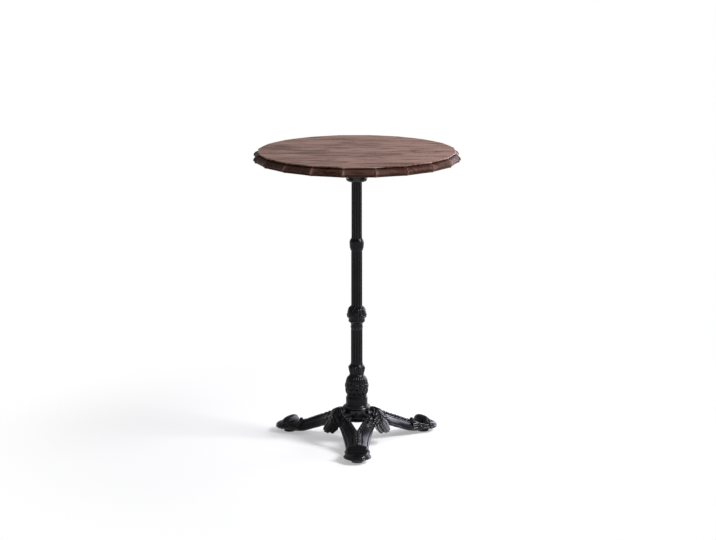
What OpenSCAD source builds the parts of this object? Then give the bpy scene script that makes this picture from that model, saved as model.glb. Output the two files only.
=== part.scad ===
/* [Top] */
// Height of the top surface above the floor
table_h = 1092; // [1000:1:1200]
// Diameter across the carved rim
top_d = 762; // [600:1:900]
// Thickness of the wooden top
top_t = 36; // [30:1:44]
// Scallops round the rim
lobe_n = 20; // [12:1:30]
// Depth of the hollow between two points of the rim
hollow_depth = 7; // [3:0.5:10]
// Turn of the first point of the rim from the front
point_turn = -8; // [-9:0.5:9]

/* [Column] */
// Diameter of the upper fluted shaft
upper_d = 39.5; // [38:0.5:41]
// Diameter of the middle fluted shaft
middle_d = 41.5; // [39.5:0.5:43.5]
// Diameter of the lower fluted shaft
lower_d = 43.5; // [41.5:0.5:44]
// Flutes round each shaft
flute_n = 12; // [8:1:14]
// Radius of a flute
flute_r = 3.6; // [2.5:0.1:4.2]
// Height of the collar between the upper and middle shafts
collar_h = 45; // [36:1:55]
// Diameter of that collar
collar_d = 53.5; // [50:0.5:58]
// Height of the middle shaft
middle_h = 206; // [150:1:240]
// Height of the round knop
knop_h = 68; // [60:1:76]
// Diameter of the round knop
knop_d = 71; // [66:1:78]
// Height of the lower shaft
lower_h = 150; // [110:1:190]
// Height of the vase above the base hub
vase_h = 160; // [140:1:180]
// Diameter of the vase at its bulb
vase_d = 86; // [80:1:92]
// Gadroons round the vase
gadroon_n = 20; // [12:1:24]
// Depth of the grooves between gadroons
gadroon_depth = 2.2; // [1:0.1:3]

/* [Base] */
// Diameter of the hub that carries the legs
hub_d = 106; // [100:1:112]
// Height of that hub
hub_h = 58; // [54:1:62]
// Distance of the levelling glides from the column axis
foot_r = 290; // [270:1:310]
// Thickness of the cast walls
wall = 9; // [7:0.5:11]
// Rosettes on the base hub above each leg
rosette_n = 3; // [1:1:3]

/* [Levelling glides] */
// Diameter of a glide pad
pad_d = 42; // [34:1:44]
// Height of a glide pad
pad_h = 6; // [5:0.5:7]
// Diameter of the stem thread
stem_d = 10; // [8:0.5:12]
// Length of the stem above the pad
stem_l = 30; // [24:1:32]

/* [Hidden] */
$fn = 96;
leg_n = 3;
leg_turn = -90;
arm_n = 4;
arm_turn = 45;
flute_out_share = 0.5;

// Clearances, and overlaps that keep fused pieces from only touching
fit = 0.05;
joint_gap = 0.15;
weld = 1;

// Heights above the floor
top_z = table_h - top_t;
hub_z = 80;
vase_z = hub_z + hub_h;
lower_z = vase_z + vase_h;
knop_z = lower_z + lower_h;
middle_z = knop_z + knop_h;
collar_z = middle_z + middle_h;
upper_z = collar_z + collar_h;
spider_drop = 113;
spider_z = table_h - spider_drop;
socket_h = 12;
upper_h = spider_z + socket_h - upper_z;

// Tie rod with its nuts and washers
rod_r = 6;
rod_hole_r = 6.2;
nut_af = 19;
nut_h = 10;
washer_h = 3;
washer_r = 14;
end_washer_r = 24;
end_washer_h = 5;
rod_tail = 6;
bottom_nut_z = hub_z + rod_tail;
bottom_washer_z = bottom_nut_z + nut_h;
hub_pocket_h = rod_tail + nut_h + end_washer_h;
shaft_bore_r = 11;
spigot_r = 10.8;
spigot_h = 7;

// Carved rim: share of its width in from the widest line, share of the depth, share of the hollow
rim_w = 20.4;
rim_shares = [[0.98, 0, 0.3], [0.86, 0.04, 0.45], [0.84, 0.13, 0.5], [1, 0.18, 0.45], [0.79, 0.24, 0.6],
    [0.46, 0.32, 0.8], [0.18, 0.44, 0.95], [0.04, 0.56, 1], [0, 0.67, 1], [0.1, 0.78, 1],
    [0.26, 0.82, 0.95], [0.25, 0.9, 0.95], [0.41, 1, 0.9]];
// Places of the outline's points across one scallop
lobe_shares = [0, 0.05, 0.15, 0.32, 0.5, 0.68, 0.85, 0.95];
hollow_power = 2.2;

// Spider under the top
spider_r = 39.5;
spider_round = 8;
spider_web = 16;
rod_top_z = spider_z + socket_h + spider_web;
spider_pocket_r = 17;
arm_w = 14;
arm_tip_h = 6;
flange_w = 34;
screw_place_r = 156;
screw_r = 2.4;
screw_head_r = 5;
screw_head_h = 3;
screw_l = 28;

// Outlines of the turned pieces as shares of radius and height
collar_shares = [[0.82, 0], [0.87, 0.04], [0.88, 0.12], [0.86, 0.15], [0.94, 0.2], [0.96, 0.34], [1, 0.62],
    [0.99, 0.72], [0.96, 0.8], [0.88, 0.9], [0.8, 0.97], [0.79, 1]];
// The third share is how much of the relief shows at that height
knop_shares = [[0.62, 0, 0], [0.68, 0.03, 0], [0.81, 0.085, 0], [0.86, 0.135, 0], [0.86, 0.19, 0],
    [0.83, 0.235, 0], [0.89, 0.29, 0.4], [0.95, 0.36, 0.8], [0.985, 0.45, 1], [1, 0.54, 1],
    [0.97, 0.65, 1], [0.9, 0.75, 1], [0.8, 0.86, 0.8], [0.68, 0.94, 0.4], [0.6, 1, 0]];
vase_shares = [[1.02, 0, 0], [0.95, 0.03, 0], [0.935, 0.06, 0], [0.935, 0.17, 0], [0.9, 0.2, 0],
    [0.855, 0.235, 0], [0.9, 0.29, 0.3], [0.96, 0.35, 0.6], [0.99, 0.43, 0.8], [1, 0.48, 0.9],
    [0.96, 0.56, 1], [0.89, 0.62, 1], [0.79, 0.67, 1], [0.68, 0.7, 0.6], [0.62, 0.74, 0],
    [0.63, 0.79, 0.6], [0.68, 0.855, 1], [0.72, 0.893, 1], [0.68, 0.93, 0.6], [0.55, 0.965, 0],
    [0.53, 1, 0]];
knop_leaf_n = 10;
knop_leaf_depth = 2.4;
leaf_points = 6;
gadroon_points = 4;

// Base hub outline: radius share and height share
hub_shares = [[0.78, 0], [0.86, 0.04], [0.88, 0.11], [0.81, 0.17], [0.84, 0.21], [0.96, 0.27], [0.96, 0.8],
    [0.91, 0.84], [0.98, 0.88], [0.95, 0.93], [0.87, 1]];
hub_band = 5;
hub_pocket_r = 27;
rosette_r = 6.6;
rosette_t = 2;
rosette_eye_r = 2.6;
rosette_z = 34;
rosette_turn = 30;

// Lugs of the hub and the leg ends bolted on them
lug_face = 70;
lug_w = 62;
lug_h = 22;
lug_z = 93;
flange_t = 10;
flange_len = 31;
bolt_r = 4;
bolt_head_r = 6;
bolt_head_h = 5;
bolt_place = 19;
bolt_root = 56;
leaf_seat = 82;
leaf_seat_r = 9;
leaf_screw_r = 3;
leaf_head_r = 5.5;
leaf_head_t = 4;

// Rails of a leg arm from the shoulder out: share of the way to the glide, of the shoulder's width and height
rail_over = 6;
shoulder_z = lug_z + lug_h + rail_over;
shoulder_x = lug_face * cos(180 / leg_n);
shoulder_w = lug_face * sin(180 / leg_n);
inner_rail_shares = [[0, 1.03, 1], [0.05, 0.905, 0.99], [0.11, 0.76, 0.96], [0.2, 0.53, 0.9], [0.3, 0.305, 0.82],
    [0.4, 0.11, 0.72], [0.48, -0.025, 0.65], [0.59, -0.025, 0.555], [0.69, -0.025, 0.46],
    [0.78, -0.025, 0.4], [0.89, -0.025, 0.33]];
outer_rail_shares = [[0.035, 1.257, 0.645], [0.09, 1.19, 0.625], [0.15, 1.1, 0.585], [0.23, 0.99, 0.52],
    [0.31, 0.92, 0.46], [0.4, 0.84, 0.38], [0.49, 0.775, 0.31], [0.58, 0.72, 0.235], [0.68, 0.69, 0.165],
    [0.78, 0.68, 0.135], [0.89, 0.7, 0.13]];
rail_turn = [60, 68, 75, 82, 88, 90, 90, 90, 90, 90, 90];
rail_w = 9;
rail_step = 3;
arm_bulge = 3;

// Foot sections: share of its length from the glide, shares of its half width, top and underside
foot_l = 106;
foot_w = 98;
foot_h = 60;
foot_section_shares = [[-0.6, 0.84, 0.82, 0.3], [-0.49, 0.84, 0.94, 0.28], [-0.41, 0.83, 0.79, 0.28],
    [-0.3, 0.85, 0.74, 0.28], [-0.19, 0.92, 0.74, 0.28], [-0.08, 0.98, 0.73, 0.28], [0.05, 1, 0.7, 0.28],
    [0.17, 0.96, 0.66, 0.28], [0.27, 0.86, 0.62, 0.29], [0.36, 0.7, 0.6, 0.29], [0.44, 0.52, 0.53, 0.28],
    [0.5, 0.28, 0.42, 0.26]];
foot_shares = [[1, 0], [1, 0.28], [0.88, 0.42], [0.84, 0.72], [0.55, 0.93], [0, 1], [-0.55, 0.93],
    [-0.84, 0.72], [-0.88, 0.42], [-1, 0.28], [-1, 0]];
scroll_r = 21;
scroll_w = 78;
scroll_shares = [[0, -1], [0.62, -1], [0.8, -0.86], [0.93, -0.58], [0.99, -0.28], [1, 0], [0.99, 0.28],
    [0.93, 0.58], [0.8, 0.86], [0.62, 1], [0, 1]];
scroll_in = 4;
scroll_z = 39;
scroll_eye_r = 7;
scroll_eye_t = 3;
// Half length and half width of the heel pad under the foot
heel_foot = [44, 24];
heel_top = [47, 32];
heel_h = 12;
heel_points = 24;

// Shoulder leaf: shares of its reach, of its height and of its half width
leaf_reach = 131;
leaf_under_hub = 3;
leaf_top = hub_z + hub_h - leaf_under_hub;
leaf_w = 92;
leaf_spine_shares = [[0.443, 0.978, 0.3], [0.519, 1, 0.48], [0.611, 0.985, 0.61], [0.695, 0.926, 0.72],
    [0.748, 0.83, 0.78], [0.779, 0.726, 0.85], [0.809, 0.622, 0.94], [0.855, 0.533, 1],
    [0.916, 0.444, 0.83], [0.969, 0.378, 0.52], [1, 0.341, 0.22]];
// Turn of the leaf's outer face above the horizontal at each point of the spine
leaf_turn = [105, 95, 72, 45, 22, 16, 18, 25, 35, 48, 60];
leaf_across_shares = [1, 0.7, 0.38, 0.1, 0, -0.1, -0.38, -0.7, -1];
leaf_relief_shares = [0, 0.75, 0.6, 0.85, 1.5, 0.85, 0.6, 0.75, 0];
leaf_t = 4;
leaf_crown = 3;
leaf_droop = 5;
leaf_boss_end = 97;
leaf_head_seat = 102;

// Glide parts
pad_edge = 1;
stem_base_r = 8;
stem_base_h = 3.5;
hex_af = 17;
hex_h = 3;
heel_gap = 0.6;
heel_z = pad_h + hex_h + heel_gap;

function leg_angle(i) = leg_turn + 360 / leg_n * (i - 1);
function shoulder_angle(i) = leg_angle(i) + 180 / leg_n;
function hex_r(af) = af / sqrt(3);

module at_foot(i) { rotate(leg_angle(i)) translate([foot_r, 0, 0]) children(); }

// A closed skin over rings of equally many points, with the two ends capped.
// The points go round anticlockwise as seen from the last ring.
module skin(rings) {
    n = len(rings[0]);
    last = len(rings) - 1;
    sides = [for (i = [0:last - 1], j = [0:n - 1]) let (k = (j + 1) % n)
        each [[i * n + j, (i + 1) * n + k, i * n + k], [i * n + j, (i + 1) * n + j, (i + 1) * n + k]]];
    start_cap = [for (j = [0:n - 1]) j];
    end_cap = [for (j = [n - 1:-1:0]) last * n + j];
    polyhedron([for (ring = rings) each ring], concat(sides, [start_cap, end_cap]));
}

// How far the rim is drawn in at a share of the way from one point to the next
function hollow(share) = hollow_depth * (1 - pow(abs(2 * share - 1), hollow_power));

function rim_ring(step) = [for (i = [lobe_n - 1:-1:0], j = [len(lobe_shares) - 1:-1:0])
    let (a = point_turn - 90 + 360 / lobe_n * (i + lobe_shares[j]),
         r = top_d / 2 - step[0] * rim_w - hollow(lobe_shares[j]) * step[2])
    [r * cos(a), r * sin(a), table_h - step[1] * top_t]];

module at_spider_screws() {
    for (i = [0:arm_n - 1]) rotate(arm_turn + i * 360 / arm_n) translate([screw_place_r, 0, 0]) children();
}

module tabletop() {
    color("saddlebrown") difference() {
        skin([for (step = rim_shares) rim_ring(step)]);
        at_spider_screws() translate([0, 0, top_z - weld])
            cylinder(r = screw_r + fit, h = screw_l - arm_tip_h);
    }
}

module spider_arm() {
    rotate([90, 0, 0]) linear_extrude(arm_w, center = true)
        polygon([[spider_r - wall, spider_z + socket_h], [spider_r, spider_z + socket_h],
            [screw_place_r - flange_w / 2, top_z - arm_tip_h - weld],
            [screw_place_r - flange_w / 2, top_z - weld], [spider_r - wall, top_z - weld]]);
    translate([spider_r - wall, -flange_w / 2, top_z - arm_tip_h])
        cube([screw_place_r - spider_r + wall, flange_w, arm_tip_h]);
    translate([screw_place_r, 0, top_z - arm_tip_h]) cylinder(r = flange_w / 2, h = arm_tip_h);
}

module top_spider() {
    web_z = spider_z + socket_h;
    color("dimgray") difference() {
        union() {
            rotate_extrude() polygon([[0, spider_z], [spider_r - spider_round, spider_z],
                [spider_r - spider_round / 3, spider_z + spider_round / 3],
                [spider_r, spider_z + spider_round], [spider_r, top_z], [0, top_z]]);
            for (i = [0:arm_n - 1]) rotate(arm_turn + i * 360 / arm_n) spider_arm();
        }
        translate([0, 0, spider_z - weld]) cylinder(d = upper_d + 2 * fit, h = socket_h + weld);
        translate([0, 0, web_z - weld]) cylinder(r = rod_hole_r, h = spider_web + 2 * weld);
        translate([0, 0, web_z + spider_web]) cylinder(r = spider_pocket_r, h = table_h);
        at_spider_screws() translate([0, 0, spider_z]) cylinder(r = screw_r + fit, h = table_h);
    }
}

module spider_screws() {
    color("silver") at_spider_screws() translate([0, 0, top_z - arm_tip_h]) {
        cylinder(r = screw_r, h = screw_l - 2 * weld);
        translate([0, 0, -screw_head_h]) cylinder(r = screw_head_r, h = screw_head_h);
    }
}

module hex_nut(z) {
    translate([0, 0, z]) difference() {
        cylinder(r = hex_r(nut_af), h = nut_h, $fn = 6);
        translate([0, 0, -weld]) cylinder(r = rod_r + fit, h = nut_h + 2 * weld);
    }
}

module flat_washer(z, r, h) {
    translate([0, 0, z]) difference() {
        cylinder(r = r, h = h);
        translate([0, 0, -weld]) cylinder(r = rod_hole_r, h = h + 2 * weld);
    }
}

module tie_rod() {
    rod_end_z = rod_top_z + washer_h + nut_h + rod_tail;
    color("silver") translate([0, 0, hub_z]) cylinder(r = rod_r, h = rod_end_z - hub_z);
}

module top_washer() { color("silver") flat_washer(rod_top_z, washer_r, washer_h); }
module top_nut() { color("silver") hex_nut(rod_top_z + washer_h); }
module bottom_washer() { color("silver") flat_washer(bottom_washer_z, end_washer_r, end_washer_h); }
module bottom_nut() { color("silver") hex_nut(bottom_nut_z); }

module fluted_shaft(z, d, h) {
    color("black") translate([0, 0, z]) linear_extrude(h) difference() {
        circle(d = d);
        circle(r = shaft_bore_r);
        for (i = [0:flute_n - 1]) rotate(i * 360 / flute_n)
            translate([d / 2 + flute_r * flute_out_share, 0]) circle(r = flute_r);
    }
}

module upper_shaft() { fluted_shaft(upper_z, upper_d, upper_h); }
module middle_shaft() { fluted_shaft(middle_z, middle_d, middle_h); }
module lower_shaft() { fluted_shaft(lower_z, lower_d, lower_h); }

// Spigots that stand up and down into the bores of the shafts
module spigot(z) { translate([0, 0, z]) cylinder(r = spigot_r, h = spigot_h + weld); }

module rod_bore(z, h) {
    translate([0, 0, z - spigot_h - weld]) cylinder(r = rod_hole_r, h = h + 2 * (spigot_h + weld));
}

module ring_collar() {
    color("black") difference() {
        union() {
            rotate_extrude() polygon(concat([[0, collar_z]],
                [for (s = collar_shares) [s[0] * collar_d / 2, collar_z + s[1] * collar_h]],
                [[0, collar_z + collar_h]]));
            spigot(collar_z - spigot_h);
            spigot(collar_z + collar_h - weld);
        }
        rod_bore(collar_z, collar_h);
    }
}

// A turned outline whose surface is drawn in between lobes, as deep as each height's share tells
module lobed_body(shares, z, d, h, n, points, depth) {
    count = n * points;
    skin([for (s = shares)
        [for (j = [0:count - 1])
            let (a = 360 / count * j, r = s[0] * d / 2 - depth * s[2] * (1 - abs(sin(a * n / 2))))
            [r * cos(a), r * sin(a), z + s[1] * h]]]);
}

module round_knop() {
    color("black") difference() {
        union() {
            lobed_body(knop_shares, knop_z, knop_d, knop_h, knop_leaf_n, leaf_points, knop_leaf_depth);
            spigot(knop_z - spigot_h);
            spigot(knop_z + knop_h - weld);
        }
        rod_bore(knop_z, knop_h);
    }
}

module vase() {
    color("black") difference() {
        union() {
            lobed_body(vase_shares, vase_z, vase_d, vase_h, gadroon_n, gadroon_points, gadroon_depth);
            spigot(vase_z + vase_h - weld);
        }
        rod_bore(vase_z, vase_h);
    }
}

module at_rosettes() {
    for (i = [1:leg_n], j = [0:rosette_n - 1])
        rotate(leg_angle(i) + rosette_turn * (j - (rosette_n - 1) / 2))
            translate([0, 0, hub_z + rosette_z]) rotate([0, 90, 0]) children();
}

// The hub's block that a shoulder is bolted on
module lug(i) {
    rotate(shoulder_angle(i)) translate([0, -lug_w / 2, lug_z]) cube([lug_face, lug_w, lug_h]);
}

// Screws and holes on the shoulders: how far aside, and which way out from the axis
module at_shoulder(i, aside, out) {
    rotate(shoulder_angle(i)) translate([out, aside, lug_z + lug_h / 2]) rotate([0, 90, 0]) children();
}

module base_hub() {
    band_r = hub_d / 2 * hub_shares[hub_band][0];
    color("black") difference() {
        union() {
            rotate_extrude() polygon(concat([[0, hub_z]],
                [for (s = hub_shares) [s[0] * hub_d / 2, hub_z + s[1] * hub_h]], [[0, hub_z + hub_h]]));
            for (i = [1:leg_n]) lug(i);
            at_rosettes() cylinder(r = rosette_r, h = band_r + rosette_t);
            at_rosettes() cylinder(r = rosette_eye_r, h = band_r + 2 * rosette_t);
        }
        translate([0, 0, hub_z - weld]) cylinder(r = rod_hole_r, h = hub_h + 2 * weld);
        translate([0, 0, hub_z - weld]) cylinder(r = hub_pocket_r, h = hub_pocket_h + weld);
        for (i = [1:leg_n]) {
            for (side = [-1, 1])
                at_shoulder(i, side * bolt_place, bolt_root) cylinder(r = bolt_r, h = lug_face);
            at_shoulder(i, 0, bolt_root) cylinder(r = leaf_screw_r, h = lug_face);
        }
    }
}

function rail_point(share) = [shoulder_x + share[0] * (foot_r - shoulder_x), share[1] * shoulder_w,
    share[2] * shoulder_z];

// One section of an arm: top rail, hollow back, foot of the wall, bulged face and step below the rail
function arm_section(p, q, turn) =
    let (out = [cos(turn), sin(turn), 0],
         step_in = p + rail_w * out - [0, 0, rail_step],
         middle = (step_in + q) / 2 + arm_bulge * out + [0, 0, arm_bulge])
    [p, p - [0, 0, rail_step + wall], q - wall * out, q, middle, step_in, p + rail_w * out];

module arm() {
    skin([for (i = [0:len(rail_turn) - 1])
        arm_section(rail_point(inner_rail_shares[i]), rail_point(outer_rail_shares[i]), rail_turn[i])]);
}

function foot_section(s) = [for (p = foot_shares) [foot_r + s[0] * foot_l, p[0] * s[1] * foot_w / 2,
    (s[3] + p[1] * (s[2] - s[3])) * foot_h]];

function heel_ring(half, z) = [for (j = [0:heel_points - 1]) let (a = 360 / heel_points * j)
    [foot_r + half[0] * cos(a), half[1] * sin(a), z]];

module foot() {
    skin([for (s = foot_section_shares) foot_section(s)]);
    translate([foot_r - scroll_in, 0, scroll_z]) rotate([90, 0, 0]) {
        rotate_extrude() polygon([for (s = scroll_shares) [s[0] * scroll_r, s[1] * scroll_w / 2]]);
        cylinder(r = scroll_eye_r, h = scroll_w + 2 * scroll_eye_t, center = true);
    }
    skin([heel_ring(heel_foot, heel_z), heel_ring(heel_top, heel_z + heel_h)]);
}

// The end of an arm that is bolted on the hub's lug
module arm_end() {
    rotate(180 / leg_n) translate([lug_face, -flange_len, lug_z]) cube([flange_t, flange_len, lug_h]);
}

module leg(i) {
    color("black") difference() {
        rotate(leg_angle(i)) {
            for (side = [0, 1]) mirror([0, side, 0]) difference() {
                union() {
                    arm();
                    arm_end();
                }
                rotate(180 / leg_n) translate([0, -joint_gap, 0]) cube([table_h, table_h, table_h]);
            }
            foot();
        }
        at_foot(i) cylinder(d = stem_d + 2 * fit, h = stem_l + pad_h + 2 * weld);
        for (end = [[i, -1], [i - 1, 1]]) {
            at_shoulder(end[0], end[1] * bolt_place, bolt_root) cylinder(r = bolt_r + fit, h = lug_face);
            at_shoulder(end[0], end[1] * bolt_place, lug_face + flange_t)
                cylinder(r = bolt_head_r + fit, h = lug_face);
            at_shoulder(end[0], 0, bolt_root) cylinder(r = leaf_screw_r + fit, h = lug_face);
            at_shoulder(end[0], 0, leaf_seat) cylinder(r = leaf_seat_r + fit, h = lug_face);
        }
    }
}

module leg_bolts() {
    color("silver") for (i = [1:leg_n], side = [-1, 1]) at_shoulder(i, side * bolt_place, bolt_root + weld) {
        cylinder(r = bolt_r - fit, h = lug_face + flange_t - bolt_root);
        translate([0, 0, lug_face + flange_t - bolt_root - weld]) cylinder(r = bolt_head_r, h = bolt_head_h);
    }
}

// Outer face and back of the leaf at one point of its spine
function leaf_ring(s, turn) =
    let (n = len(leaf_across_shares) - 1,
         normal = [cos(turn), 0, sin(turn)],
         base = [for (x = leaf_across_shares)
            [s[0] * leaf_reach, x * s[2] * leaf_w / 2, s[1] * leaf_top] - leaf_droop * x * x * normal])
    concat([for (j = [0:n]) base[j] + leaf_crown * leaf_relief_shares[j] * normal],
        [for (j = [n:-1:0]) base[j] - leaf_t * normal]);

module shoulder_leaf(i) {
    color("black") difference() {
        union() {
            rotate(shoulder_angle(i))
                skin([for (k = [0:len(leaf_turn) - 1]) leaf_ring(leaf_spine_shares[k], leaf_turn[k])]);
            at_shoulder(i, 0, leaf_seat) cylinder(r = leaf_seat_r, h = leaf_boss_end - leaf_seat);
        }
        at_shoulder(i, 0, leaf_seat - weld)
            cylinder(r = leaf_screw_r + fit, h = leaf_head_seat - leaf_seat + 2 * weld);
        at_shoulder(i, 0, leaf_head_seat) cylinder(r = leaf_head_r + fit, h = lug_face);
    }
}

module leaf_screws() {
    color("silver") for (i = [1:leg_n]) {
        at_shoulder(i, 0, bolt_root + weld) cylinder(r = leaf_screw_r - fit, h = leaf_head_seat - bolt_root);
        at_shoulder(i, 0, leaf_head_seat) cylinder(r = leaf_head_r, h = leaf_head_t);
    }
}

module glide_stem(i) {
    base_z = pad_h - stem_base_h;
    color("silver") at_foot(i) {
        translate([0, 0, base_z]) cylinder(r = stem_base_r, h = stem_base_h);
        translate([0, 0, pad_h]) cylinder(r = hex_r(hex_af), h = hex_h, $fn = 6);
        translate([0, 0, pad_h + hex_h - weld]) cylinder(d = stem_d, h = stem_l - hex_h + weld);
    }
}

module glide_pad(i) {
    color("dimgray") at_foot(i) difference() {
        rotate_extrude() polygon([[0, 0], [pad_d / 2 - pad_edge, 0], [pad_d / 2, pad_edge],
            [pad_d / 2, pad_h - 2 * pad_edge], [pad_d / 2 - 2 * pad_edge, pad_h], [0, pad_h]]);
        translate([0, 0, pad_h - stem_base_h]) cylinder(r = stem_base_r + fit, h = pad_h);
    }
}

tabletop();
top_spider();
spider_screws();
tie_rod();
top_washer();
top_nut();
upper_shaft();
ring_collar();
middle_shaft();
round_knop();
lower_shaft();
vase();
base_hub();
leg_bolts();
leaf_screws();
bottom_washer();
bottom_nut();
for (i = [1:leg_n]) {
    leg(i);
    shoulder_leaf(i);
    glide_stem(i);
    glide_pad(i);
}
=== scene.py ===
import math

import bmesh
import bpy
from mathutils import Matrix, Vector


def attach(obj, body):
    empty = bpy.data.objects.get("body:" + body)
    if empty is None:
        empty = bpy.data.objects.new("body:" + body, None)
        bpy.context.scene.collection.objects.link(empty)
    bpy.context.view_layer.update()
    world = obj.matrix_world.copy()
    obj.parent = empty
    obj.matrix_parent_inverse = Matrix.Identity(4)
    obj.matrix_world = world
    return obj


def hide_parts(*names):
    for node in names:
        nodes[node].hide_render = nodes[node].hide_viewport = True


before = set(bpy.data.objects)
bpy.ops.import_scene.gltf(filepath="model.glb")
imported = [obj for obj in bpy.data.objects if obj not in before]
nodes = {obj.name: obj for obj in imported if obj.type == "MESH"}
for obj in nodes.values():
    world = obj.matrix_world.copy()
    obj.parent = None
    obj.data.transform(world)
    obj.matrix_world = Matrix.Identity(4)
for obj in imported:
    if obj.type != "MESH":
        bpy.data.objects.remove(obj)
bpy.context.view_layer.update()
print("frame loaded,", len(nodes), "nodes")


class Wire:  # one output socket of a shader node
    def __init__(self, tree, socket):
        self.tree = tree
        self.socket = socket

    def add(self, kind, settings=None, values=None, out=0):
        node = self.tree.nodes.new(kind)
        for name, value in (settings or {}).items():
            if name == "stops":
                ramp = node.color_ramp
                while len(ramp.elements) < len(value):
                    ramp.elements.new(0.5)
                for stop, (position, colour) in zip(ramp.elements, value):
                    stop.position = position
                    stop.color = colour
            else:
                setattr(node, name, value)
        for name, value in (values or {}).items():
            if isinstance(value, Wire):
                self.tree.links.new(value.socket, node.inputs[name])
            else:
                node.inputs[name].default_value = value
        return Wire(self.tree, node.outputs[out])

    def maths(self, operation, other=0.0):
        return self.add("ShaderNodeMath", {"operation": operation}, {0: self, 1: other})

    def __add__(self, other):
        return self.maths("ADD", other)

    def __sub__(self, other):
        return self.maths("SUBTRACT", other)

    def __mul__(self, other):
        return self.maths("MULTIPLY", other)

    def __truediv__(self, other):
        return self.maths("DIVIDE", other)

    def __rsub__(self, other):
        return self.add("ShaderNodeMath", {"operation": "SUBTRACT"}, {0: other, 1: self})

    __radd__ = __add__

    def clipped(self, low=0.0, high=1.0):
        return self.maths("MAXIMUM", low).maths("MINIMUM", high)

    def smooth(self, low, high):  # 0 below low, 1 above high
        return self.add("ShaderNodeMapRange", {"interpolation_type": "SMOOTHSTEP"},
                        {"Value": self, "From Min": low, "From Max": high})

    def tint(self, low, high):  # a colour between two, by this value
        return self.add("ShaderNodeMix", {"data_type": "RGBA"}, {0: self, 6: low, 7: high}, out=2)

    def noise(self, scale, detail=3.0, roughness=0.55):
        return self.add("ShaderNodeTexNoise", {}, {"Vector": self, "Scale": scale, "Detail": detail,
                                                   "Roughness": roughness})

    def stretched(self, scale):
        return self.add("ShaderNodeMapping", {}, {"Vector": self, "Scale": scale})

    def part(self, axis):
        return self.add("ShaderNodeSeparateXYZ", {}, {0: self}, out="XYZ".index(axis))

    def bump(self, distance, strength=1.0):
        return self.add("ShaderNodeBump", {}, {"Height": self, "Distance": distance, "Strength": strength})


def newMaterial(name, constants):
    made = bpy.data.materials.new(name)
    made.use_nodes = True
    shader = made.node_tree.nodes["Principled BSDF"]
    for socket, value in constants.items():
        shader.inputs[socket].default_value = value
    start = made.node_tree.nodes.new("ShaderNodeTexCoord")
    return made, shader, Wire(made.node_tree, start.outputs["Object"])


def plug(shader, **wires):
    names = {"colour": "Base Color", "roughness": "Roughness", "normal": "Normal", "coat": "Coat Weight"}
    for name, wire in wires.items():
        wire.tree.links.new(wire.socket, shader.inputs[names[name]])


# the coat makes edges shine and leaves creases dull; the bend is 0.5 where the surface is flat; besides its
# random tone, the colour is paler on raised edges as a painted highlight and darker in creases as painted
# shade

ironLook = {"dark": (0.0022, 0.002, 0.0024, 1), "pale": (0.008, 0.0073, 0.009, 1), "gloss": 0.28,
            "coat": 0.12, "edgeCoat": 0.45, "edgeBend": (0.502, 0.54), "creaseBend": (0.45, 0.498),
            "broadScale": 26, "grainScale": 420, "pitScale": 1500, "castGrain": 0.00016}


def makeIron():
    iron, shader, place = newMaterial("blackCastIron", {"Specular IOR Level": 0.06, "Coat Roughness": 0.2})
    bend = place.add("ShaderNodeNewGeometry", out="Pointiness")
    raised = bend.smooth(*ironLook["edgeBend"])
    sunk = 1 - bend.smooth(*ironLook["creaseBend"])
    broad = place.noise(ironLook["broadScale"], 3)
    grain = place.noise(ironLook["grainScale"], 4, 0.6)
    pits = place.noise(ironLook["pitScale"], 2, 0.5)
    # random tone of the casting, plus a painted highlight on raised edges and painted shade in creases
    toneAndPaintedEdgeLight = (broad * 0.6 + grain * 0.4 + raised * 0.5 - sunk * 0.5).smooth(0.3, 0.7)
    plug(shader, coat=ironLook["coat"] + raised * ironLook["edgeCoat"] - sunk * ironLook["coat"],
         colour=toneAndPaintedEdgeLight.tint(ironLook["dark"], ironLook["pale"]),
         roughness=ironLook["gloss"] + broad * 0.08 + pits * 0.08 - 0.08,
         normal=(grain * 0.7 + pits * 0.3).bump(ironLook["castGrain"], 0.7))
    return iron


# each stretch is along the grain, then twice across it; the stain lies on the rim and in pores, and its
# colour also paints shade, darker still in the rim's cove, step, valleys and lower edge, while the ridges of
# the points are a painted highlight

woodLook = {"dark": (0.08, 0.036, 0.026, 1), "middle": (0.19, 0.1, 0.077, 1),
            "pale": (0.285, 0.172, 0.137, 1), "stainAndShade": (0.022, 0.0062, 0.003, 1), "gloss": 0.5, "coat": 0.24,
            "boardWidth": 0.13, "boardStart": 0.37, "boardShiftX": 3.71, "boardShiftZ": 1.93,
            "wander": (2.4, 9, 9), "arches": (1.8, 9, 9), "archCount": 60, "veins": (6, 240, 240),
            "patches": (4.6, 26, 26), "rings": (2.4, 66, 66), "streaks": (9, 420, 420),
            "pores": (55, 2100, 2100), "grainHigh": 0.0002}


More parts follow.
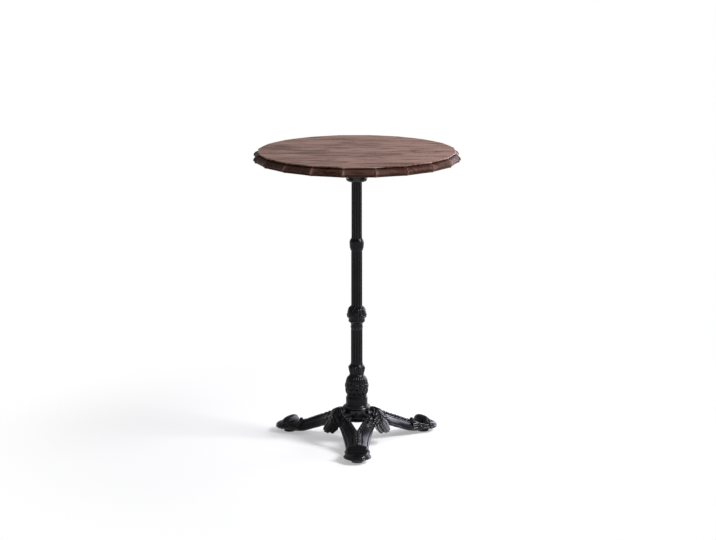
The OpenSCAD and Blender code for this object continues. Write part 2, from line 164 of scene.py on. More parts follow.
def makeWood():
    wood, shader, place = newMaterial("stainedWood", {"Specular IOR Level": 0.05, "Coat Roughness": 0.4})
    board = (place.part("Y") / woodLook["boardWidth"] + woodLook["boardStart"]).maths("FLOOR")
    shift = board.add("ShaderNodeCombineXYZ", {}, {"X": board * woodLook["boardShiftX"], "Y": 0.0,
                                                   "Z": board * woodLook["boardShiftZ"]})
    inBoard = place.add("ShaderNodeVectorMath", {"operation": "ADD"}, {0: place, 1: shift})

    def figured(name, *settings):
        return inBoard.stretched(woodLook[name]).noise(*settings)

    wander = figured("wander", 1.4, 3)
    arches = (figured("arches", 1.0, 2, 0.45) * woodLook["archCount"]).maths("SINE").smooth(0.3, 1.0)
    veins = figured("veins", 1.0, 3, 0.6).smooth(0.42, 0.6)
    patches = figured("patches", 1.0, 4, 0.65).smooth(0.47, 0.62)
    rings = figured("rings", 1.0, 4, 0.65)
    streaks = figured("streaks", 1.0, 3, 0.6)
    pores = figured("pores", 1.0, 2, 0.5).smooth(0.56, 0.68)
    bands = rings * 0.6 + wander * 0.2 + streaks * 0.34 - arches * 0.12
    figure = (bands - patches * (veins * 0.34 + 0.08) + 0.06).clipped()
    stops = [(0.34, woodLook["dark"]), (0.5, woodLook["middle"]), (0.68, woodLook["pale"])]
    colour = figure.add("ShaderNodeValToRGB", {"stops": stops}, {"Fac": figure})
    # mix towards the wood's colour: 1 on the open field and low on the stained rim, with painted shade in the
    # rim's hollows and a painted highlight on its ridges
    worn = place.add("ShaderNodeAttribute", {"attribute_name": "worn"}, out=2)  # 1 on the open faces
    colour = worn.tint(woodLook["stainAndShade"], colour)
    plug(shader, colour=(pores * 0.5).tint(colour, woodLook["stainAndShade"]), coat=worn * worn * woodLook["coat"],
         roughness=woodLook["gloss"] + pores * 0.2 + wander * 0.12 - 0.06,
         normal=(streaks * 0.5 - pores * 0.6).bump(woodLook["grainHigh"], 0.4))
    return wood


steelLook = {"pale": (0.52, 0.52, 0.51, 1), "dark": (0.3, 0.3, 0.3, 1), "gloss": 0.34, "blotchScale": 180,
             "lineScale": 60, "lineStretch": (1, 1, 40), "lineHigh": 0.00004}


def makeSteel():
    zinc, shader, place = newMaterial("zincSteel", {"Metallic": 1.0})
    blotch = place.noise(steelLook["blotchScale"], 3)
    lines = place.stretched(steelLook["lineStretch"]).noise(steelLook["lineScale"], 2)
    plug(shader, colour=blotch.smooth(0.3, 0.7).tint(steelLook["dark"], steelLook["pale"]),
         roughness=steelLook["gloss"] + blotch * 0.14 + lines * 0.05,
         normal=lines.bump(steelLook["lineHigh"], 0.5))
    return zinc


rubberLook = {"base": (0.014, 0.014, 0.014, 1), "dust": (0.035, 0.034, 0.033, 1), "gloss": 0.6,
              "grainScale": 900, "dustScale": 120, "grainHigh": 0.00008}


def makeRubber():
    moulded, shader, place = newMaterial("glideRubber", {"Specular IOR Level": 0.35})
    grain = place.noise(rubberLook["grainScale"], 2)
    dust = place.noise(rubberLook["dustScale"], 4).smooth(0.45, 0.75)
    plug(shader, colour=dust.tint(rubberLook["base"], rubberLook["dust"]),
         roughness=rubberLook["gloss"] + dust * 0.15, normal=grain.bump(rubberLook["grainHigh"], 0.6))
    return moulded


ironPaint = makeIron()
topWood = makeWood()
steel = makeSteel()
rubber = makeRubber()
print("finishes made")


viewSet = {"away": 10.0, "high": 2.747, "aside": 0.0047, "pitch": 11.46, "turn": -0.41, "lens": 139.92,
           "riseShare": -0.0268, "clip": (0.1, 100)}


def makeCamera():
    data = bpy.data.cameras.new("photoCamera")
    data.lens = viewSet["lens"]
    data.shift_y = viewSet["riseShare"]
    data.clip_start, data.clip_end = viewSet["clip"]
    camera = bpy.data.objects.new("photoCamera", data)
    bpy.context.scene.collection.objects.link(camera)
    turn = Matrix.Rotation(math.radians(viewSet["turn"]), 4, "Z")
    camera.matrix_world = (turn @ Matrix.Translation((viewSet["aside"], -viewSet["away"], viewSet["high"]))
                           @ Matrix.Rotation(math.radians(90 - viewSet["pitch"]), 4, "X"))
    bpy.context.scene.camera = camera


# the floor glows less near the table, where the shadow shows, and is all white from the far radius on

stageSet = {"floorSize": 60.0, "floorColour": (0.93, 0.93, 0.93, 1), "nearShare": 0.36, "nearRadius": 0.4,
            "farRadius": 1.5, "skyLow": 1.0, "skyHigh": 0.3, "skyLowSine": 0.05, "skyHighSine": 0.25}


def seenDirectly(place):  # 1 for what the camera sees, straight or in a gloss or glass
    path = place.tree.nodes.new("ShaderNodeLightPath")
    rays = [Wire(place.tree, path.outputs[name])
            for name in ("Is Camera Ray", "Is Glossy Ray", "Is Transmission Ray")]
    return (rays[0] + rays[1] + rays[2]).clipped()


def makeFloor():
    bm = bmesh.new()
    bmesh.ops.create_grid(bm, x_segments=8, y_segments=8, size=stageSet["floorSize"] / 2)
    mesh = bpy.data.meshes.new("floor")
    bm.to_mesh(mesh)
    bm.free()
    floor = bpy.data.objects.new("floor", mesh)
    bpy.context.scene.collection.objects.link(floor)
    made, shader, place = newMaterial("whiteFloor", {"Roughness": 0.9, "Specular IOR Level": 0.0,
                                                     "Base Color": stageSet["floorColour"]})
    tree = made.node_tree
    away = place.add("ShaderNodeVectorMath", {"operation": "LENGTH"}, {0: place}, out="Value")
    away = away.smooth(stageSet["nearRadius"], stageSet["farRadius"])
    share = away * (1 - stageSet["nearShare"]) + stageSet["nearShare"]
    glow = place.add("ShaderNodeEmission", {}, {"Color": (1, 1, 1, 1), "Strength": 1.0})
    mixed = place.add("ShaderNodeMixShader", {}, {0: seenDirectly(place) * share,
                                                  1: Wire(tree, shader.outputs[0]), 2: glow})
    under = place.add("ShaderNodeNewGeometry", out="Backfacing")  # from below, the floor is clear as glass
    clear = place.add("ShaderNodeBsdfTransparent")
    shown = place.add("ShaderNodeMixShader", {}, {0: under, 1: mixed, 2: clear})
    tree.links.new(shown.socket, tree.nodes["Material Output"].inputs["Surface"])
    mesh.materials.append(made)


def makeSky():  # white at the horizon, greyer above
    world = bpy.data.worlds.new("studio")
    world.use_nodes = True
    bpy.context.scene.world = world
    tree = world.node_tree
    background = tree.nodes["Background"]
    way = Wire(tree, tree.nodes.new("ShaderNodeTexCoord").outputs["Generated"])
    high = way.part("Z").smooth(stageSet["skyLowSine"], stageSet["skyHighSine"])
    strength = high * (stageSet["skyHigh"] - stageSet["skyLow"]) + stageSet["skyLow"]
    tree.links.new(strength.socket, background.inputs["Strength"])
    background.inputs["Color"].default_value = (1, 1, 1, 1)


lampSet = {"window": {"place": (2.9, -1.0, 2.9), "size": 1.6, "power": 210, "colour": (0.96, 0.97, 1.0)},
           "side": {"place": (2.5, 3.1, 1.4), "size": 3.2, "power": 140, "colour": (0.85, 0.83, 1.0)}}
lampAim = (0, 0, 0.5)


def makeLamps():
    for name, lamp in lampSet.items():
        data = bpy.data.lights.new(name + "Lamp", "AREA")
        data.shape = "DISK"
        data.size = lamp["size"]
        data.energy = lamp["power"]
        data.color = lamp["colour"]
        light = bpy.data.objects.new(name + "Lamp", data)
        bpy.context.scene.collection.objects.link(light)
        light.location = lamp["place"]
        way = Vector(lampAim) - Vector(lamp["place"])
        light.rotation_euler = way.to_track_quat("-Z", "Y").to_euler()


makeCamera()
makeFloor()
makeSky()
makeLamps()
bpy.context.scene.view_settings.view_transform = "Standard"
print("camera, floor and light made")


# small modelling helpers; lengths in the dictionaries below are in millimetres, turns in degrees

mm = 0.001
up = Vector((0, 0, 1))
frontTurn = -90  # the way from the axis to the front leg
legTurns = [frontTurn + 120 * i for i in range(3)]
shoulderTurns = [turn + 60 for turn in legTurns]


def softLine(points, steps):  # a soft curve through the points, with so many steps between two
    line = []
    for i in range(len(points) - 1):
        four = (points[max(i - 1, 0)], points[i], points[i + 1], points[min(i + 2, len(points) - 1)])
        for k in range(steps):
            t = k / steps
            line.append(tuple(b + 0.5 * t * (c - a + t * (2 * a - 5 * b + 4 * c - d
                                                          + t * (3 * b - a - 3 * c + d)))
                              for a, b, c, d in zip(*four)))
    return line + [tuple(points[-1])]


def level(table, x):  # straight-line reading of a table of (x, value)
    for (x0, y0), (x1, y1) in zip(table, table[1:]):
        if x <= x1:
            return y0 + (y1 - y0) * max(0.0, (x - x0) / (x1 - x0))
    return table[-1][1]


def ease(low, high, x):
    t = min(1.0, max(0.0, (x - low) / (high - low)))
    return t * t * (3 - 2 * t)


def faded(fades, x):  # 1 where x is past every soft limit (from, to), 0 outside one
    return math.prod(ease(low, high, x) for low, high in fades)


def hill(x, width):
    return math.exp(-(x / width) ** 2)


def wrapped(angle, count):  # angle measured from the nearest of so many equal places, and that place's number
    step = math.tau / count
    number = round(angle / step)
    return angle - number * step, number % count


def rotated(degrees, axis="Z"):
    return Matrix.Rotation(math.radians(degrees), 4, axis)


def shifted(x, y, z):
    return Matrix.Translation(Vector((x, y, z)) * mm)


def sideways(degrees):
    return Vector((math.cos(math.radians(degrees)), math.sin(math.radians(degrees)), 0))


def turned(outline, segments, relief=None, ring=True):  # outline in (radius, height), spun round the axis
    bm = bmesh.new()
    line = [bm.verts.new((radius * mm, 0, height * mm)) for radius, height in outline]
    for a, b in zip(line, line[1:] + line[:1] if ring else line[1:]):
        bm.edges.new((a, b))
    bmesh.ops.spin(bm, geom=bm.verts[:] + bm.edges[:], cent=(0, 0, 0), axis=(0, 0, 1), angle=math.tau,
                   steps=segments, use_merge=True)
    bmesh.ops.remove_doubles(bm, verts=bm.verts, dist=0.000001)
    for vert in bm.verts if relief else ():
        radius = math.hypot(vert.co.x, vert.co.y)
        if radius > 0.0001:
            push = relief(math.atan2(vert.co.y, vert.co.x), vert.co.z / mm, radius / mm) * mm
            vert.co.x *= 1 + push / radius
            vert.co.y *= 1 + push / radius
    return bm


def loft(rings):  # a closed skin over rings of equally many points
    bm = bmesh.new()
    line = [bm.verts.new(Vector(point) * mm) for point in rings[0]]
    edges = [bm.edges.new(pair) for pair in zip(line, line[1:] + line[:1])]
    bmesh.ops.contextual_create(bm, geom=edges)
    for ring in rings[1:]:
        made = bmesh.ops.extrude_edge_only(bm, edges=edges)["geom"]
        fresh = {item for item in made if isinstance(item, bmesh.types.BMVert)}
        line = [next(edge.other_vert(vert) for edge in vert.link_edges if edge.other_vert(vert) in fresh)
                for vert in line]
        for vert, point in zip(line, ring):
            vert.co = Vector(point) * mm
        edges = [item for item in made if isinstance(item, bmesh.types.BMEdge) and
                 item.verts[0] in fresh and item.verts[1] in fresh]
    bmesh.ops.contextual_create(bm, geom=edges)
    return bm


def box(size):
    bm = bmesh.new()
    bmesh.ops.create_cube(bm, size=1)
    bmesh.ops.scale(bm, vec=Vector(size) * mm, verts=bm.verts)
    return bm


def ball(radius):
    bm = bmesh.new()
    bmesh.ops.create_icosphere(bm, subdivisions=3, radius=radius * mm)
    return bm


def ellipsoid(halves, segments, rings):
    bm = bmesh.new()
    bmesh.ops.create_uvsphere(bm, u_segments=segments, v_segments=rings, radius=1)
    bmesh.ops.scale(bm, vec=Vector(halves) * mm, verts=bm.verts)
    return bm


def join(bm, other, move=Matrix()):
    bmesh.ops.transform(other, matrix=move, verts=other.verts)
    passing = bpy.data.meshes.new("passing")
    other.to_mesh(passing)
    other.free()
    bm.from_mesh(passing)
    bpy.data.meshes.remove(passing)


def addPiece(name, bm, finish, replaced, sharpAngle=38, turn=0):
    if turn:
        bmesh.ops.rotate(bm, cent=(0, 0, 0), matrix=Matrix.Rotation(math.radians(turn), 3, "Z"),
                         verts=bm.verts)
    bmesh.ops.recalc_face_normals(bm, faces=bm.faces)
    for face in bm.faces:
        face.smooth = True
    for edge in bm.edges:
        bent = len(edge.link_faces) == 2 and edge.calc_face_angle(0) > math.radians(sharpAngle)
        edge.smooth = not bent
    mesh = bpy.data.meshes.new(name)
    bm.to_mesh(mesh)
    bm.free()
    mesh.materials.append(finish)
    piece = bpy.data.objects.new(name, mesh)
    bpy.context.scene.collection.objects.link(piece)
    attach(piece, "table")
    for node in replaced:
        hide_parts(node)


# tabletop: the carved rim's outline is (in from the widest line, down from the top); how deep the hollows
# are and how dark the rim is go by the distance down: the rim takes the stain, with painted shade in its
# cove, step and lower edge

topSet = {"high": 1092, "radius": 381, "thick": 36, "points": 20, "stepsPerPoint": 32, "turn": -8,
          "field": (0, 60, 140, 220, 290, 335, 355), "under": (360, 300, 150, 0), "carvedFrom": (345, 358),
          "hollow": 6.4, "hollowPower": 2.0, "ridgeWide": 3.4, "ridgeDeep": 3.4, "gather": 1.6,
          "rim": [(20.0, 0), (19.2, 0.05), (18.2, 0.5), (17.5, 1.4), (17.2, 2.6), (17.2, 4.2), (17.6, 4.9),
                  (19.2, 5.6), (20.4, 6.5), (20.2, 7.2), (18.5, 7.7), (16.1, 8.6), (12.6, 9.9), (9.4, 11.5),
                  (6.2, 13.5), (3.7, 15.8), (1.8, 18.2), (0.6, 20.8), (0, 24.1), (0.35, 26), (1.1, 27.4),
                  (2.2, 28.3), (4.4, 29.0), (5.4, 29.6), (5.5, 30.4), (5.1, 31), (5, 32.4), (5.4, 34),
                  (6.4, 35.2), (8.4, 36)],
          "hollowShare": [(0, 0.36), (1.4, 0.42), (4.7, 0.5), (6.5, 0.6), (8.6, 0.8), (11.5, 0.8),
                          (15.8, 0.95), (20, 1), (28, 1), (30, 0.95), (32.4, 0.95), (36, 0.9)],
          "worn": [(0, 1), (2.0, 0.85), (4.5, 0.3), (6.2, 0), (7.6, 0.02), (9, 0.13), (12, 0.19), (24, 0.21),
                   (27.5, 0.13), (29.2, 0.0), (30.5, 0.2), (33, 0.16), (36, 0.05)],
          "rimStainAndShadeFrom": 350, "ridgeHighlight": 1.3, "ridgeHighlightWide": 7.0, "valleyShade": 0.2}


def makeTabletop():
    rim = [(topSet["radius"] - inward, topSet["high"] - down) for inward, down in topSet["rim"]]
    field = [(radius, topSet["high"]) for radius in topSet["field"]]
    under = [(radius, topSet["high"] - topSet["thick"]) for radius in topSet["under"]]

    def carve(angle, height, radius):
        if radius < topSet["carvedFrom"][0]:
            return 0.0
        aside, _ = wrapped(angle, topSet["points"])
        share = abs(aside) * topSet["points"] / math.tau
        hollow = topSet["hollow"] * (1 - abs(1 - 2 * share) ** topSet["hollowPower"])
        beside = topSet["ridgeDeep"] * (1 - hill(aside * radius, topSet["ridgeWide"]))
        shown = level(topSet["hollowShare"], topSet["high"] - height) * ease(*topSet["carvedFrom"], radius)
        return -(hollow + beside) * shown

    bm = turned(field + rim + under, topSet["points"] * topSet["stepsPerPoint"], ring=False)
    step = math.tau / topSet["points"]
    for vert in bm.verts:  # the rows round the rim gather at the points, then sink between them
        radius = math.hypot(vert.co.x, vert.co.y)
        aside, number = wrapped(math.atan2(vert.co.y, vert.co.x), topSet["points"])
        aside = math.copysign(0.5 * abs(2 * aside / step) ** topSet["gather"] * step, aside)
        radius += carve(aside, vert.co.z / mm, radius / mm) * mm
        angle = number * step + aside
        vert.co.x = radius * math.cos(angle)
        vert.co.y = radius * math.sin(angle)
    worn = bm.verts.layers.float.new("worn")
    # painted light in the stain mix: painted shade in the rim's cove, step and lower edge and in the valleys,
    # and a painted highlight along the ridges of the points
    for vert in bm.verts:
        radius = math.hypot(vert.co.x, vert.co.y) / mm
        shade = level(topSet["worn"], topSet["high"] - vert.co.z / mm) if radius > topSet["rimStainAndShadeFrom"] else 1.0
        aside, _ = wrapped(math.atan2(vert.co.y, vert.co.x), topSet["points"])
        valley = topSet["valleyShade"] * ease(0.2, 1.0, abs(aside) * 2 * topSet["points"] / math.tau)
        ridge = topSet["ridgeHighlight"] * hill(aside * radius, topSet["ridgeHighlightWide"])
        vert[worn] = min(1.0, shade * (1 + (ridge - valley) * ease(1.0, 0.9, shade)))
    addPiece("carvedTop", bm, topWood, ["tabletop"], sharpAngle=50,
             turn=topSet["turn"] + frontTurn)


makeTabletop()
print("tabletop made")


# column: fluted shafts as (diameter, lower end, upper end, plain length under the upper end); the rows are
# where the mesh is cut near an end of the shaft, of its flutes or of its plain neck

boreRadius = 6.2
shaftSet = {"bore": 11, "flutes": 12, "fluteRadius": 3.9, "fluteOut": 1.2, "fluteEnd": 5, "stepsPerFlute": 20,
            "upperShaftFluted": (39.5, 767, 991, 0), "middleShaftFluted": (41.5, 516, 722, 0),
            "lowerShaftFluted": (43.5, 298, 448, 24),
            "pelletRadius": 2.3, "pelletDrop": 14, "pelletSunk": 0.6, "lowRows": (0, 1, 4), "longRows": 6,
            "openRows": (6, 4, 1), "closedRows": (6, 5, 3, 1.5, 0.5, 0), "neckRows": (4, 1)}


def makeShaft(name, node):
    diameter, low, high, plain = shaftSet[name]
    radius = diameter / 2
    end = high - plain
    endRows = shaftSet["closedRows"] if plain else shaftSet["openRows"]
    first, last = low + shaftSet["lowRows"][-1], end - endRows[0]
    heights = [low + rise for rise in shaftSet["lowRows"]]
    heights += [first + (last - first) * k / shaftSet["longRows"] for k in range(1, shaftSet["longRows"])]
    heights += [end - drop for drop in endRows]
    heights += [high - plain / 2] + [high - drop for drop in shaftSet["neckRows"]] if plain else []
    heights.append(high)

    def flute(angle, height, r):
        if r < (shaftSet["bore"] + radius) / 2:
            return 0.0
        aside, _ = wrapped(angle, shaftSet["flutes"])
        across = abs(math.sin(aside)) * radius
        deep = math.sqrt(max(0.0, shaftSet["fluteRadius"] ** 2 - across ** 2)) - shaftSet["fluteOut"]
        toEnd = max(0.0, height - end + shaftSet["fluteEnd"]) / shaftSet["fluteEnd"] if plain else 0.0
        return -max(0.0, deep) * math.sqrt(max(0.0, 1 - toEnd ** 2))

    side = [(radius, height) for height in heights]
    outline = [(shaftSet["bore"], low)] + side + [(shaftSet["bore"], high)]
    bm = turned(outline, shaftSet["flutes"] * shaftSet["stepsPerFlute"], flute)
    for k in range(shaftSet["flutes"] if plain else 0):
        join(bm, ball(shaftSet["pelletRadius"]), rotated(360 * k / shaftSet["flutes"])
             @ shifted(radius - shaftSet["pelletSunk"], 0, high - shaftSet["pelletDrop"]))
    addPiece(name, bm, ironPaint, [node])


makeShaft("upperShaftFluted", "upper_shaft")
makeShaft("middleShaftFluted", "middle_shaft")
makeShaft("lowerShaftFluted", "lower_shaft")


# the turned pieces: outline as shares of radius and height; grooves as (count, depth, half width, limits) and
# leaves as (count, turn, lift, middle, half width, half height, limits), with middle and limits as shares of
# the height

spigotSet = {"radius": 10.8, "high": 7}
petalSet = {"border": 1.08, "borderWide": 0.09, "borderDeep": 0.9, "ribWide": 0.1, "ribDeep": 0.35}


def scaledOutline(piece, steps):
    tall = piece["high"] - piece["low"]
    return [(r * piece["radius"], piece["low"] + t * tall) for r, t in softLine(piece["outline"], steps)]


def withSpigots(piece, steps, both=True):  # a closed outline round the bore, with the spigots
    low, high, radius, tall = piece["low"], piece["high"], spigotSet["radius"], spigotSet["high"]
    foot = [(boreRadius, low - tall), (radius, low - tall), (radius, low)] if both else [(boreRadius, low)]
    head = [(radius, high), (radius, high + tall), (boreRadius, high + tall)]
    return foot + scaledOutline(piece, steps) + head


def groove(row, angle, share, radius):
    count, deep, halfWide, fades = row
    aside, _ = wrapped(angle, count)
    return -deep * hill(aside * radius, halfWide) * faded(fades, share)


def petal(row, angle, share, tall, radius):  # raised leaf with a sunk border and a midrib
    count, turn, lift, middle, halfWide, halfTall, fades = row
    aside, _ = wrapped(angle - math.radians(turn), count)
    across = aside * radius
    reach = math.hypot(across / halfWide, (share - middle) * tall / halfTall)
    body = max(0.0, 1 - reach ** 3)
    border = petalSet["borderDeep"] * hill(reach - petalSet["border"], petalSet["borderWide"])
    rib = petalSet["ribDeep"] * hill(across, halfWide * petalSet["ribWide"]) * body
    return lift * (body - border - rib) * faded(fades, share)


collarSet = {"low": 722, "high": 767, "radius": 26.7, "grooves": (24, 0.7, 0.9, [(0.24, 0.32), (0.8, 0.7)]),
             "outline": [(0.8, 0), (0.84, 0.02), (0.87, 0.06), (0.89, 0.11), (0.885, 0.15), (0.93, 0.18),
                         (0.955, 0.23), (0.96, 0.3), (0.975, 0.45), (0.99, 0.55), (1, 0.65), (0.99, 0.72),
                         (0.96, 0.8), (0.9, 0.88), (0.83, 0.95), (0.79, 1)]}


def makeCollar():
    tall = collarSet["high"] - collarSet["low"]

    def relief(angle, height, radius):
        return groove(collarSet["grooves"], angle, (height - collarSet["low"]) / tall, radius)

    addPiece("ringCollarTurned", turned(withSpigots(collarSet, 4), 240, relief), ironPaint, ["ring_collar"])


makeCollar()


knopSet = {"low": 448, "high": 516, "radius": 35.5, "coreRadius": 12, "plainTop": (1.0, 0.95),
           "petals": [(6, 30, 2.0, 0.68, 11.5, 15.5, []), (6, 0, 1.4, 0.88, 7.2, 10, [(0.7, 0.76)]),
                      (6, 0, 1.9, 0.42, 8.5, 11, [(0.27, 0.34)])],
           "grooves": (36, 0.8, 0.8, [(0.02, 0.07), (0.25, 0.19)]),
           "outline": [(0.62, 0), (0.676, 0.03), (0.8, 0.085), (0.86, 0.135), (0.85, 0.19), (0.845, 0.25),
                       (0.89, 0.31), (0.945, 0.36), (0.97, 0.42), (0.985, 0.47), (0.99, 0.54), (0.98, 0.6),
                       (0.96, 0.65), (0.93, 0.69), (0.9, 0.75), (0.86, 0.81), (0.8, 0.86), (0.71, 0.915),
                       (0.62, 0.97), (0.58, 1)]}


def makeKnop():
    tall = knopSet["high"] - knopSet["low"]

    def relief(angle, height, radius):
        if radius < knopSet["coreRadius"]:
            return 0.0
        share = (height - knopSet["low"]) / tall
        push = sum(petal(row, angle, share, tall, radius) for row in knopSet["petals"])
        return (push + groove(knopSet["grooves"], angle, share, radius)) * ease(*knopSet["plainTop"], share)

    addPiece("roundKnopCarved", turned(withSpigots(knopSet, 5), 288, relief), ironPaint, ["round_knop"])


makeKnop()


vaseSet = {"low": 138, "high": 298, "radius": 43, "coreRadius": 14,
           "gadroons": (24, 2.3, 1.4, [(0.5, 0.54), (0.7, 0.66)]),
           "petals": [(12, 0, 1.7, 0.47, 9.5, 10, [(0.36, 0.4)]),
                      (12, -15, 1.7, 0.345, 9.5, 13, [(0.42, 0.38), (0.24, 0.27)]),
                      (8, 28, 1.8, 0.83, 8.6, 16, [(0.71, 0.75), (0.955, 0.93)])],
           "tips": 8, "tipTurn": 28, "gapFrom": (4.5, 10.5), "gapDeep": 2.2,
           "gapFades": [(0.8, 0.9), (0.955, 0.93)], "lineDeep": 0.5, "lineAt": 0.075, "lineWide": 0.8,
           "outline": [(1.02, 0), (0.985, 0.012), (0.95, 0.025), (0.935, 0.05), (0.935, 0.15), (0.94, 0.17),
                       (0.915, 0.19), (0.875, 0.215), (0.855, 0.24), (0.87, 0.262), (0.9, 0.2875),
                       (0.935, 0.3125), (0.95, 0.33), (0.975, 0.38), (0.985, 0.43), (0.985, 0.475),
                       (0.98, 0.5), (0.965, 0.53), (0.95, 0.565), (0.92, 0.594), (0.89, 0.62), (0.85, 0.645),
                       (0.78, 0.67), (0.7, 0.695), (0.65, 0.71), (0.62, 0.735), (0.615, 0.76), (0.63, 0.79),
                       (0.66, 0.83), (0.68, 0.855), (0.71, 0.88), (0.715, 0.905), (0.68, 0.93), (0.6, 0.95),
                       (0.54, 0.975), (0.52, 1)]}


def makeVase():
    tall = vaseSet["high"] - vaseSet["low"]

    def relief(angle, height, radius):
        if radius < vaseSet["coreRadius"]:
            return 0.0
        share = (height - vaseSet["low"]) / tall
        push = groove(vaseSet["gadroons"], angle, share, radius)
        push += sum(petal(row, angle, share, tall, radius) for row in vaseSet["petals"])
        aside, _ = wrapped(angle - math.radians(vaseSet["tipTurn"]), vaseSet["tips"])
        gap = vaseSet["gapDeep"] * ease(*vaseSet["gapFrom"], abs(aside * radius))
        line = vaseSet["lineDeep"] * hill((share - vaseSet["lineAt"]) * tall, vaseSet["lineWide"])
        return push - gap * faded(vaseSet["gapFades"], share) - line

    addPiece("vaseCarved", turned(withSpigots(vaseSet, 5, both=False), 288, relief), ironPaint, ["vase"])


makeVase()
print("column made")


# hub: a ring with three rosettes in front of each leg, and a lug for the legs under each leaf

rosetteSet = {"leaves": 8, "gapDeep": 1.1, "gapAngle": 0.13, "gapFrom": (4, 6), "faceFrom": (-1, 1),
              "outline": [(0, 4.6), (1.8, 4.3), (3.0, 3.5), (3.8, 2.0), (4.4, 0.8), (5.2, 1.3), (6.2, 2.5),
                          (7.3, 2.1), (8.2, 0.8), (8.2, -6), (0, -6)]}

hubSet = {"low": 80, "high": 138, "radius": 53, "pocketRadius": 27, "pocketHigh": 21,
          "rosetteHigh": 34, "rosetteOut": 0.955, "rosetteStep": 30,
          "lugIn": 40, "lugOut": 70, "lugWide": 62, "lugLow": 93, "lugTall": 22, "lugEdge": 0.8,
          "grooves": (60, 0.7, 0.7, [(0.02, 0.05), (0.14, 0.11)]), "groovedFrom": 40,
          "outline": [(0.78, 0), (0.83, 0.015), (0.87, 0.05), (0.88, 0.11), (0.85, 0.14), (0.81, 0.16),
                      (0.82, 0.2), (0.9, 0.24), (0.95, 0.27), (0.96, 0.32), (0.96, 0.78), (0.95, 0.8),
                      (0.92, 0.82), (0.93, 0.85), (0.975, 0.87), (0.985, 0.89), (0.97, 0.92), (0.95, 0.94),
                      (0.93, 0.96), (0.87, 1)]}


def makeRosette():  # a round flower with a bead in a sunk ring, standing on its axis
    def relief(angle, height, radius):
        aside, _ = wrapped(angle, rosetteSet["leaves"])
        shown = ease(*rosetteSet["gapFrom"], radius) * ease(*rosetteSet["faceFrom"], height)
        return -rosetteSet["gapDeep"] * hill(aside, rosetteSet["gapAngle"]) * shown

    return turned(rosetteSet["outline"], 64, relief, ring=False)


def makeLug():
    lug = box((hubSet["lugOut"] - hubSet["lugIn"], hubSet["lugWide"], hubSet["lugTall"]))
    bmesh.ops.bevel(lug, geom=lug.edges[:], offset=hubSet["lugEdge"] * mm, offset_type="OFFSET", segments=2,
                    profile=0.5, affect="EDGES", material=-1, clamp_overlap=True)
    return lug


def makeHub():
    tall = hubSet["high"] - hubSet["low"]
    pocketTop = hubSet["low"] + hubSet["pocketHigh"]
    pocket = [(boreRadius, hubSet["high"]), (boreRadius, pocketTop), (hubSet["pocketRadius"], pocketTop),
              (hubSet["pocketRadius"], hubSet["low"])]

    def relief(angle, height, radius):
        share = (height - hubSet["low"]) / tall
        return groove(hubSet["grooves"], angle, share, radius) if radius > hubSet["groovedFrom"] else 0.0

    bm = turned(scaledOutline(hubSet, 1) + pocket, 240, relief)
    lugPlace = ((hubSet["lugOut"] + hubSet["lugIn"]) / 2, 0, hubSet["lugLow"] + hubSet["lugTall"] / 2)
    rosettePlace = (hubSet["rosetteOut"] * hubSet["radius"], 0, hubSet["low"] + hubSet["rosetteHigh"])
    for legTurn, shoulderTurn in zip(legTurns, shoulderTurns):
        join(bm, makeLug(), rotated(shoulderTurn) @ shifted(*lugPlace))
        for j in (-1, 0, 1):
            join(bm, makeRosette(), rotated(legTurn + hubSet["rosetteStep"] * j) @ shifted(*rosettePlace)
                 @ rotated(90, "Y"))
    addPiece("baseHubCarved", bm, ironPaint, ["base_hub"])


makeHub()
print("hub made")


# legs: two rails for each arm as (along the leg, aside, height), and the way the arm's face looks; round a
# rail the section is (outward, up), and between them the face's relief is (share of the way down, lift)

legSet = {"inner": [(35, 62.4, 121), (47.8, 54.9, 119.8), (63, 46.1, 116.2), (86, 32.1, 108.9),
                    (111.5, 18.5, 99.2), (137, 6.7, 87.1), (157.4, -1.5, 78.7), (185.5, -1.5, 67.2),
                    (210.9, -1.5, 55.7), (233.9, -1.5, 48.4), (262, -1.5, 40)],
          "outer": [(43.9, 76.2, 78), (57.9, 72.1, 75.6), (73.2, 66.7, 70.8), (93.6, 60, 62.9),
                    (114, 55.8, 55.7), (137, 50.9, 46), (160, 47, 37.5), (182.9, 43.6, 28.4),
                    (208.4, 41.8, 20), (233.9, 41.2, 16.3), (262, 42.4, 15.7)],
          "turn": [60, 68, 75, 82, 88, 90, 90, 90, 90, 90, 90], "shoulder": 60, "bulge": 4.4,
          "railSection": [(0, -11), (0, -1.5), (1.0, 0), (4.5, 0.3), (8.2, 0), (9.2, -1.2), (9.2, -2.6),
                          (8.0, -3.6)],
          "faceStart": (8.2, -4.8),
          "faceRelief": [(0.0, 0), (0.05, 0.8), (0.13, 1.0), (0.16, 0.7), (0.18, -0.9), (0.215, -1.0),
                         (0.24, 0.2), (0.3, 0.9), (0.4, 1.3), (0.5, 1.4), (0.6, 1.3), (0.7, 0.9), (0.76, 0.2),
                         (0.785, -1.0), (0.82, -0.9), (0.84, 0.7), (0.87, 1.0), (0.95, 0.8), (1.0, 0)],
          "underSection": [(-1.5, -1.2), (-7.5, -1.2), (-9, 0)],
          "flange": (10, 30.8, 22), "flangePlace": (75, -15.6, 104),
          "beadRadius": 4.9, "beadStep": 15.5, "beadEnd": 240, "beadAside": 7.0, "beadSunk": 1.6}


def armRows(steps):  # inner rail, outer rail and turn along the arm
    rows = [inner + outer + (turn,)
            for inner, outer, turn in zip(legSet["inner"], legSet["outer"], legSet["turn"])]
    return softLine(rows, steps)


def armFace(p, q, outward, start):  # the point at a share of the way down the face, lifted off it
    top = p + start[0] * outward + start[1] * up
    face = q - top
    normal = (outward * -face.z + up * face.dot(outward)).normalized()
    bulge = 4 * legSet["bulge"]
    return lambda share, lift: top + face * share + normal * (bulge * share * (1 - share) + lift)


